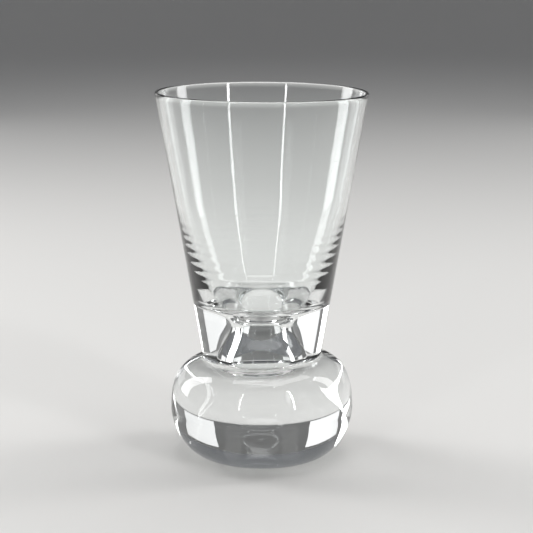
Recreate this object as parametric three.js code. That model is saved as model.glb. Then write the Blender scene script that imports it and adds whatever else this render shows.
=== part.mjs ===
// Mixing glass: a thin flared bowl whose thick lower part narrows to a waist over a small pocket,
// set in a solid flattened glass ball that it stands on. Millimetres, +Z up, z = 0 on the table.
import * as THREE from "three";

// Driving dimensions.
const HEIGHT = 150.4;
const RIM_RADIUS = 43;
const LIP_THICKNESS = 1.25;
const NECK_RADIUS = 24.2;
const NECK_HEIGHT = 40.8;
const FOOT_RADIUS = 37.8;
const FOOT_WIDEST_HEIGHT = 19.6;
const BASE_RADIUS = 25.5;

// Inside of the bowl, from the rim down: an even thin wall, a wall that thickens, a shoulder that
// draws in fast to a narrow waist, and a bell-shaped pocket that ends in a round floor in the ball.
const THIN_WALL_END = { radius: 33.3, height: 104 };
const SHOULDER_START = { radius: 22.2, height: 66.5 };
const WAIST = { radius: 8.2, height: 57 };
const POCKET_FLOOR = 35;

// Inside the neck the bowl's rounded bottom sinks into the ball, down to this height on the axis.
const BOWL_BOTTOM = 26;

// The two gathers of glass meet with this gap between their modelled faces.
const SEAM_GAP = 0.3;

// Fineness of the faceted surfaces.
const TURN_SEGMENTS = 72;
const LIP_STEPS = 8;
const CURVE_STEPS = 12;

// Clear, colourless, polished glass.
const GLASS_LOOK = { color: 0xf2f6f5, roughness: 0.02, metalness: 0 };

// The seam from the axis out to the crease at the neck, raised or lowered by the given amount.
function seam(lift) {
  const path = new THREE.Path();
  path.moveTo(0, BOWL_BOTTOM + lift);
  const outer = NECK_HEIGHT + lift;
  path.bezierCurveTo(12, BOWL_BOTTOM + lift, 19, outer - 9, NECK_RADIUS, outer);
  return path.getPoints(CURVE_STEPS);
}

// The lip is fire-polished: a full half-round across the wall's thickness.
function lip() {
  const half = LIP_THICKNESS / 2;
  const arc = new THREE.EllipseCurve(RIM_RADIUS - half, HEIGHT - half, half, half, 0, Math.PI);
  return arc.getPoints(LIP_STEPS);
}

function bore() {
  const path = new THREE.Path();
  path.moveTo(RIM_RADIUS - LIP_THICKNESS, HEIGHT - LIP_THICKNESS / 2);
  path.lineTo(THIN_WALL_END.radius, THIN_WALL_END.height);
  path.bezierCurveTo(30.6, 90, 26.5, 76, SHOULDER_START.radius, SHOULDER_START.height);
  path.bezierCurveTo(20.8, 61, 8.4, 64, WAIST.radius, WAIST.height);
  path.bezierCurveTo(8, 50, 21, POCKET_FLOOR, 0, POCKET_FLOOR);
  return path.getPoints(CURVE_STEPS).slice(1);
}

function bowlGeometry() {
  return new THREE.LatheGeometry([...seam(SEAM_GAP / 2), ...lip(), ...bore()], TURN_SEGMENTS);
}

// The foot's side: a rounded edge at the table, the widest circle, then the shoulder up to the neck.
function footSide() {
  const path = new THREE.Path();
  path.moveTo(BASE_RADIUS, 0);
  path.bezierCurveTo(33, 3.2, FOOT_RADIUS, 14, FOOT_RADIUS, FOOT_WIDEST_HEIGHT);
  path.bezierCurveTo(FOOT_RADIUS, 35.8, 31.3, 39.4, NECK_RADIUS, NECK_HEIGHT - SEAM_GAP / 2);
  return path.getPoints(CURVE_STEPS);
}

function footGeometry() {
  const underside = new THREE.Vector2(0, 0);
  const socket = seam(-SEAM_GAP / 2).reverse().slice(1);
  return new THREE.LatheGeometry([underside, ...footSide(), ...socket], TURN_SEGMENTS);
}

// A lathe turns about +Y, so each piece is stood up to turn about +Z.
function glassPiece(name, geometry) {
  const piece = new THREE.Mesh(geometry, new THREE.MeshStandardMaterial(GLASS_LOOK));
  piece.name = name;
  piece.rotation.x = Math.PI / 2;
  return piece;
}

const mixingGlass = new THREE.Group();
mixingGlass.add(glassPiece("bowl", bowlGeometry()));
mixingGlass.add(glassPiece("ball_foot", footGeometry()));

export default mixingGlass;
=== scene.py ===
import math

import bpy
import numpy as np
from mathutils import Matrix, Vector


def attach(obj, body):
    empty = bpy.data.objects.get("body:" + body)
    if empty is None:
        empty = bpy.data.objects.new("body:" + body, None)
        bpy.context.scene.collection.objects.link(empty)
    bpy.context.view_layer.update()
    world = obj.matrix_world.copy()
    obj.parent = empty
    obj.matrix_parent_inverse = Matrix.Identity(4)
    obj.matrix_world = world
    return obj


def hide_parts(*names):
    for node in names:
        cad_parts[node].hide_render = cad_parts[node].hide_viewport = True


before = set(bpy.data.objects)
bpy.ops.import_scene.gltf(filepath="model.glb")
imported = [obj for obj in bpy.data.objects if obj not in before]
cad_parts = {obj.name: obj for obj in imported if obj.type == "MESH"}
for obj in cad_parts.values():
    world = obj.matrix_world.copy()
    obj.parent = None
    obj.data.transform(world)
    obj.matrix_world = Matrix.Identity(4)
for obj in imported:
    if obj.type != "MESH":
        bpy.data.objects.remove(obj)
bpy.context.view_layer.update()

MM = 0.001
TAU = 2 * math.pi

# Outline of the glass, millimetres, z = 0 on the table.
HEIGHT = 150.4
RIM_RADIUS = 42.97
LIP_THICKNESS = 1.25
NECK_RADIUS = 24.2
NECK_HEIGHT = 40.8
FOOT_RADIUS = 37.76
FOOT_WIDEST_HEIGHT = 19.6
BASE_RADIUS = 25.5
BOWL_BOTTOM = 26.0

# Inside of the bowl.
THIN_WALL_END = (33.3, 104.0)
SHOULDER_START = (22.2, 66.5)
WAIST = (8.2, 57.0)
POCKET_FLOOR = 35.0

# The valley between bowl and ball is rounded over this much of each side of it. The ball's side
# falls by the given share of its run there. The rounding has an even number of steps.
CREASE_RISE = 1.3
CREASE_RUN = 1.2
CREASE_FALL = 0.18
CREASE_STEPS = 8
CREASE_MIDDLE = CREASE_STEPS // 2

# Rings that the tool left on the inside of the lower wall: they fade in over the first length
# below the top one and out over the second length above the last one.
RING_TOP, RING_END = 103.0, 74.0
RING_FADES = (26, 7)
RING_PITCH = 3.5
RING_DEPTH = 0.04

# The neck is pinched a little askew: its crease is higher at +X by this slope.
CREASE_TILT = 0.024
CREASE_TILT_REACH = 9.0

# The rim is a little lower at +X than at -X, and waves by a little over the top few millimetres.
RIM_DROP = 0.5
RIM_WAVE = 0.12
RIM_WAVE_REACH = 4.0

# Out of round: how much an oval and a three-sided lobe shrink the radius, as shares of it.
OVAL = 0.0011
THREE_LOBES = 0.0008

# Floor, metres: where it starts to rise, the top of its wall, and its gap under the foot.
FLOOR_EDGE = (2.2, 0)
WALL_TOP = (3.2, 1.0)
FLOOR_GAP = 0.0003
FLOOR_TURN = 96

# Camera, metres and degrees: place, how far it looks down, lens in millimetres, sideways shift.
CAMERA_PLACE = (0, -0.645797, 0.211899)
CAMERA_DOWN = 11.677
CAMERA_LENS = 108.74
CAMERA_SHIFT = 0.008818

# Light bounces: enough for a ray to cross the glass many times.
BOUNCES = 24

# Vertices round each turned row, and the radius in millimetres under which a row is one point.
TURN = 224
ON_AXIS = 1e-9


def bezier(p0, p1, p2, p3, steps):
    """Points along a cubic curve, both ends included."""
    t = np.linspace(0, 1, steps + 1)[:, None]
    p0, p1, p2, p3 = (np.array(p, float) for p in (p0, p1, p2, p3))
    u = 1 - t
    return u**3 * p0 + 3 * u**2 * t * p1 + 3 * u * t**2 * p2 + t**3 * p3


def line(p0, p1, steps):
    """Points along a straight run, both ends included."""
    return np.linspace(p0, p1, steps + 1)


def joined(*runs):
    """One outline from runs that each start where the last one ended."""
    return np.vstack([runs[0]] + [run[1:] for run in runs[1:]])


def crease_fillet():
    """The rounded valley, from the bowl's side to the ball's, through its middle."""
    slope = (RIM_RADIUS - NECK_RADIUS) / (HEIGHT - LIP_THICKNESS / 2 - NECK_HEIGHT)
    high = np.array((NECK_RADIUS + slope * CREASE_RISE, NECK_HEIGHT + CREASE_RISE))
    low = np.array((NECK_RADIUS + CREASE_RUN, NECK_HEIGHT - CREASE_FALL * CREASE_RUN))
    corner = np.array((NECK_RADIUS, NECK_HEIGHT))
    t = np.linspace(0, 1, CREASE_STEPS + 1)[:, None]
    return (1 - t) ** 2 * high + 2 * (1 - t) * t * corner + t**2 * low


def seam():
    """From the axis out to the middle of the crease, through the inside of the glass."""
    rim = crease_fillet()[CREASE_MIDDLE]
    return bezier((0, BOWL_BOTTOM), (12, BOWL_BOTTOM), (19, rim[1] - 9), rim, 24)


def bowl_side():
    """From the middle of the crease up the outside of the bowl to the lip."""
    fillet = crease_fillet()[CREASE_MIDDLE::-1]
    return joined(fillet, line(fillet[-1], (RIM_RADIUS, HEIGHT - LIP_THICKNESS / 2), 60))


def lip():
    """A half-round over the wall's thickness, from outside to inside."""
    half = LIP_THICKNESS / 2
    turn = np.linspace(0, math.pi, 13)
    across = RIM_RADIUS - half + half * np.cos(turn)
    return np.stack((across, HEIGHT - half + half * np.sin(turn)), 1)


def bore():
    """The bowl's inside, from the lip down to the floor of the pocket."""
    return joined(
        line((RIM_RADIUS - LIP_THICKNESS, HEIGHT - LIP_THICKNESS / 2), THIN_WALL_END, 26),
        bezier(THIN_WALL_END, (30.6, 90), (26.5, 76), SHOULDER_START, 120),
        bezier(SHOULDER_START, (20.8, 61), (8.4, 64), WAIST, 30),
        bezier(WAIST, (8, 50), (21, POCKET_FLOOR), (0, POCKET_FLOOR), 44),
    )


def foot_side():
    """From the middle of the underside round the ball to the middle of the crease."""
    flat_edge = (BASE_RADIUS - 1, 0)
    widest = (FOOT_RADIUS, FOOT_WIDEST_HEIGHT)
    fillet = crease_fillet()[:CREASE_MIDDLE - 1:-1]
    return joined(
        line((0, 0), flat_edge, 10),
        bezier(flat_edge, (33, 1.6), (FOOT_RADIUS, 13.5), widest, 40),
        bezier(widest, (FOOT_RADIUS, 35.8), (31.3, 39.4), fillet[0], 48),
        fillet,
    )


def handmade(points):
    """Small departures from a true turned shape, the same field for both pieces."""
    x, y, z = points.T
    angle = np.arctan2(y, x)
    oval = 0.5 + 0.5 * np.sin(2 * angle + 0.7 + z / 60)
    lobes = 0.5 + 0.5 * np.sin(3 * angle + 2.1 - z / 34)
    shrink = 1 - OVAL * oval - THREE_LOBES * lobes
    near_neck = np.exp(-(((z - NECK_HEIGHT) / CREASE_TILT_REACH) ** 2))
    lift = CREASE_TILT * x * near_neck
    near_rim = 1 - np.clip((HEIGHT - z) / RIM_WAVE_REACH, 0, 1)
    wave = RIM_WAVE * near_rim * (0.5 + 0.5 * np.cos(2 * angle + 1.0))
    drop = RIM_DROP * np.clip(z / HEIGHT, 0, 1) ** 3 * (0.5 + 0.5 * x / RIM_RADIUS)
    return np.stack((x * shrink, y * shrink, z + lift - wave - drop), 1)


def ring_offset(z, angle):
    """How far the tool rings push the bore outwards at a height."""
    fade_in = np.clip((RING_TOP - z) / RING_FADES[0], 0, 1)
    fade_out = np.clip((z - RING_END) / RING_FADES[1], 0, 1)
    lean = 0.55 * np.cos(angle - 0.6) + 0.25 * np.sin(2 * angle)
    wander = 0.9 * np.sin(z / 7.3) + 0.5 * np.sin(z / 3.1 + 1)
    return RING_DEPTH * fade_in * fade_out * np.sin(TAU * z / RING_PITCH + lean + wander)


def turned_rows(profile, ringed_from):
    """The profile's points as rows of vertices round Z; rows from ringed_from on have tool rings."""
    angles = np.linspace(0, TAU, TURN, endpoint=False)
    rows, verts = [], []
    for i, (radius, z) in enumerate(profile):
        first = len(verts)
        if radius < ON_AXIS:
            rows.append([first])
            verts.append((0, 0, z))
            continue
        around = np.full(TURN, radius)
        if i >= ringed_from:
            around = around + ring_offset(z, angles)
        rows.append(list(range(first, first + TURN)))
        verts += list(zip(around * np.cos(angles), around * np.sin(angles), np.full(TURN, z)))
    return rows, verts


def band(a, b):
    """The faces between two neighbouring rows, either of which may be one point on the axis."""
    faces = []
    for k in range(TURN):
        n = (k + 1) % TURN
        if len(a) == 1:
            faces.append((a[0], b[n], b[k]))
        elif len(b) == 1:
            faces.append((a[k], a[n], b[0]))
        else:
            faces.append((a[k], a[n], b[n], b[k]))
    return faces


def turned(name, profile, seam_bands, ringed_from):
    """A closed glass mesh turned about Z; the bands of its seam take the clear second material."""
    rows, verts = turned_rows(profile, ringed_from)
    faces, kinds = [], []
    for i, (a, b) in enumerate(zip(rows, rows[1:])):
        faces += band(a, b)
        kinds += [int(i in seam_bands)] * TURN
    mesh = bpy.data.meshes.new(name)
    mesh.from_pydata((handmade(np.array(verts, float)) * MM).tolist(), [], faces)
    mesh.materials.append(GLASS)
    mesh.materials.append(SEAM)
    mesh.polygons.foreach_set("material_index", kinds)
    mesh.polygons.foreach_set("use_smooth", [True] * len(faces))
    mesh.update()
    piece = bpy.data.objects.new(name, mesh)
    bpy.context.scene.collection.objects.link(piece)
    return piece


def node(tree, kind, **values):
    """A new shader node with some of its inputs set."""
    made = tree.nodes.new(kind)
    for key, value in values.items():
        made.inputs[key.replace("_", " ")].default_value = value
    return made


def clear_glass():
    """Polished colourless glass with the faint waves and film of hand work."""
    m = bpy.data.materials.new("clear_glass")
    m.use_nodes = True
    t = m.node_tree
    shader = t.nodes["Principled BSDF"]
    shader.inputs["Base Color"].default_value = (0.955, 0.972, 0.968, 1)
    shader.inputs["Transmission Weight"].default_value = 1.0
    shader.inputs["IOR"].default_value = 1.52
    place = t.nodes.new("ShaderNodeTexCoord")
    film = node(t, "ShaderNodeTexNoise", Scale=38.0, Detail=3.0, Roughness=0.6)
    t.links.new(place.outputs["Object"], film.inputs["Vector"])
    gloss = t.nodes.new("ShaderNodeMapRange")
    gloss.inputs["From Min"].default_value = 0.5
    gloss.inputs["From Max"].default_value = 0.8
    gloss.inputs["To Min"].default_value = 0.0
    gloss.inputs["To Max"].default_value = 0.03
    t.links.new(film.outputs["Fac"], gloss.inputs["Value"])
    t.links.new(gloss.outputs["Result"], shader.inputs["Roughness"])
    stretch = t.nodes.new("ShaderNodeMapping")
    stretch.inputs["Scale"].default_value = (1, 1, 0.35)
    t.links.new(place.outputs["Object"], stretch.inputs["Vector"])
    waves = node(t, "ShaderNodeTexNoise", Scale=75.0, Detail=2.0, Roughness=0.45)
    t.links.new(stretch.outputs["Vector"], waves.inputs["Vector"])
    bump = t.nodes.new("ShaderNodeBump")
    bump.inputs["Strength"].default_value = 1.0
    bump.inputs["Distance"].default_value = 0.00006
    t.links.new(waves.outputs["Fac"], bump.inputs["Height"])
    t.links.new(bump.outputs["Normal"], shader.inputs["Normal"])
    return m


def fused_seam():
    """Inside the fused glass nothing shows, so the faces there are fully clear."""
    m = bpy.data.materials.new("fused_seam")
    m.use_nodes = True
    shader = m.node_tree.nodes["Principled BSDF"]
    shader.inputs["Base Color"].default_value = (1, 1, 1, 1)
    shader.inputs["Alpha"].default_value = 0.0
    return m


GLASS = clear_glass()
SEAM = fused_seam()


def in_frame(piece, packed):
    """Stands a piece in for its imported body."""
    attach(piece, "root")
    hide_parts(packed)


def build_bowl():
    join, inside = seam(), bore()
    profile = joined(join, bowl_side(), lip(), inside)
    bowl = turned("glass_bowl", profile, range(len(join) - 1), len(profile) - len(inside))
    in_frame(bowl, "bowl")


def build_ball_foot():
    join, side = seam(), foot_side()
    profile = joined(side, join[::-1])
    foot = turned("glass_ball_foot", profile, range(len(side) - 1, len(profile) - 1), len(profile))
    in_frame(foot, "ball_foot")


def plain(name, colour, roughness):
    """A material of one colour."""
    m = bpy.data.materials.new(name)
    m.use_nodes = True
    shader = m.node_tree.nodes["Principled BSDF"]
    shader.inputs["Base Color"].default_value = (*colour, 1)
    shader.inputs["Roughness"].default_value = roughness
    return m


def floor():
    """A wide pale floor that curves up into a low wall far away, all round."""
    outline = joined(
        line((0, 0), FLOOR_EDGE, 3),
        bezier(FLOOR_EDGE, (2.9, 0), (3.2, 0.3), WALL_TOP, 16),
    )
    angles = np.linspace(0, TAU, FLOOR_TURN, endpoint=False)
    verts = [(0, 0, -FLOOR_GAP)]
    for radius, z in outline[1:]:
        verts += [(radius * math.cos(a), radius * math.sin(a), z - FLOOR_GAP) for a in angles]
    faces = []
    for k in range(FLOOR_TURN):
        n = (k + 1) % FLOOR_TURN
        faces.append((0, 1 + k, 1 + n))
        for i in range(len(outline) - 2):
            a, b = 1 + i * FLOOR_TURN, 1 + (i + 1) * FLOOR_TURN
            faces.append((a + k, b + k, b + n, a + n))
    mesh = bpy.data.meshes.new("floor")
    mesh.from_pydata(verts, [], faces)
    mesh.polygons.foreach_set("use_smooth", [True] * len(faces))
    mesh.materials.append(plain("pale_floor", (0.72, 0.71, 0.69), 0.7))
    made = bpy.data.objects.new("floor", mesh)
    bpy.context.scene.collection.objects.link(made)


def softbox(name, place, target, size, power):
    """A soft rectangular lamp aimed at a point, left out of the camera's direct view."""
    lamp = bpy.data.lights.new(name, "AREA")
    lamp.shape = "RECTANGLE"
    lamp.size, lamp.size_y = size
    lamp.energy = power
    made = bpy.data.objects.new(name, lamp)
    made.location = place
    made.rotation_mode = "QUATERNION"
    aim = Vector(target) - Vector(place)
    made.rotation_quaternion = aim.to_track_quat("-Z", "Y")
    made.visible_camera = False
    bpy.context.scene.collection.objects.link(made)


# Name, place and aim in metres, width and height of the lit face in metres, power in watts.
SOFTBOXES = (
    ("softbox_left", (-0.80, 0.40, 0.45), (0, 0, 0.08), (0.35, 0.9), 5),
    ("softbox_right", (0.85, 0.25, 0.42), (0, 0, 0.08), (0.25, 0.9), 3.5),
    ("strip_front_right", (0.72, -0.83, 0.54), (0, 0, 0.08), (0.05, 0.9), 3.0),
    ("strip_front_left", (-0.52, -0.95, 0.50), (0, 0, 0.08), (0.045, 0.8), 1.3),
    ("panel_back_left", (-0.70, 1.03, 0.18), (0, 0, 0.05), (0.56, 0.34), 0.62),
    ("panel_back_right", (0.70, 1.03, 0.18), (0, 0, 0.05), (0.56, 0.34), 0.52),
    ("softbox_top", (0.1, 0.2, 1.3), (0, 0, 0), (1.1, 1.1), 10),
)


def studio():
    """The lamps, and a dim even light all round."""
    for name, place, target, size, power in SOFTBOXES:
        softbox(name, place, target, size, power)
    world = bpy.data.worlds.new("studio")
    world.use_nodes = True
    bpy.context.scene.world = world
    world.node_tree.nodes["Background"].inputs["Color"].default_value = (0.30, 0.31, 0.33, 1)
    world.node_tree.nodes["Background"].inputs["Strength"].default_value = 0.5


def camera():
    """The viewing angle of the photograph: a little above, looking along +Y."""
    data = bpy.data.cameras.new("camera")
    data.sensor_width = 36
    data.lens = CAMERA_LENS
    data.shift_x = CAMERA_SHIFT
    data.clip_start, data.clip_end = 0.01, 50
    made = bpy.data.objects.new("camera", data)
    made.location = CAMERA_PLACE
    made.rotation_euler = (math.radians(90 - CAMERA_DOWN), 0, 0)
    bpy.context.scene.collection.objects.link(made)
    bpy.context.scene.camera = made


def light_paths():
    """Enough light bounces for clear glass, and true colours."""
    scene = bpy.context.scene
    scene.cycles.max_bounces = BOUNCES
    scene.cycles.transmission_bounces = BOUNCES
    scene.cycles.transparent_max_bounces = BOUNCES
    scene.view_settings.view_transform = "Standard"


build_bowl()
build_ball_foot()
floor()
studio()
camera()
light_paths()
